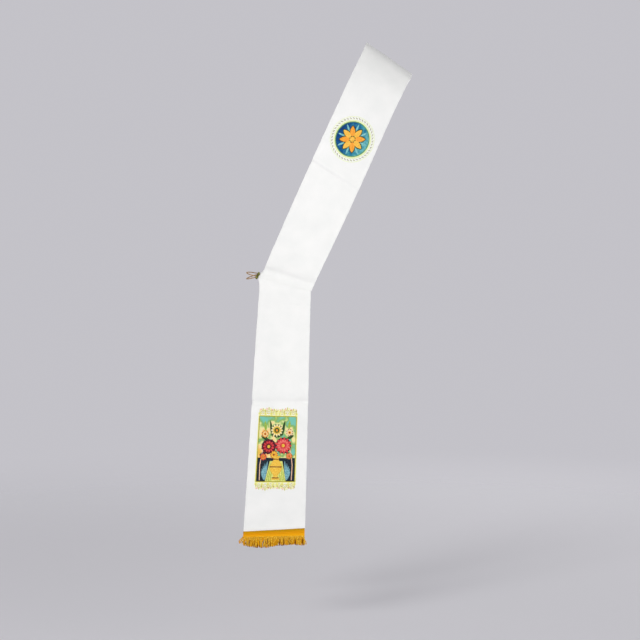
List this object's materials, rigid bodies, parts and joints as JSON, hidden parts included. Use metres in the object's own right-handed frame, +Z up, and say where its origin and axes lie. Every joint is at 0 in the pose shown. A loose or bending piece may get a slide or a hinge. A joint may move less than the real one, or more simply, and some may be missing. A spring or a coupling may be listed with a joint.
{
  "type": "clerical stole",
  "caption": "White deacon's stole in its worn form: a band over the left shoulder to the right hip in front and behind, hanging ends with gold fringe, and a gold link at the hip.",
  "frame": {"origin": "on the underside of the cloth in the middle of the top of the shoulder, where the wearer's left shoulder carries it", "axes": "+X towards the wearer's left, -Y the way the wearer faces, +Z up along the hanging ends"},
  "size_m": [0.4269, 0.2968, 1.2654],
  "materials": {
    "white_cloth": "fine matte weave with a slight sheen",
    "gold_fringe": "twisted rayon yarn",
    "gold_cord": "twisted metallic cord",
    "brass_bead": "aged satin brass"
  },
  "bodies": {
    "root": {"front_upper": "white_cloth", "front_lower": "white_cloth", "back_upper": "white_cloth", "back_lower": "white_cloth", "front_fringe": "gold_fringe", "back_fringe": "gold_fringe", "front_bead": "brass_bead", "back_bead": "brass_bead", "link_strand_top": "gold_cord", "link_strand_low": "gold_cord"}
  },
  "joints": []
}
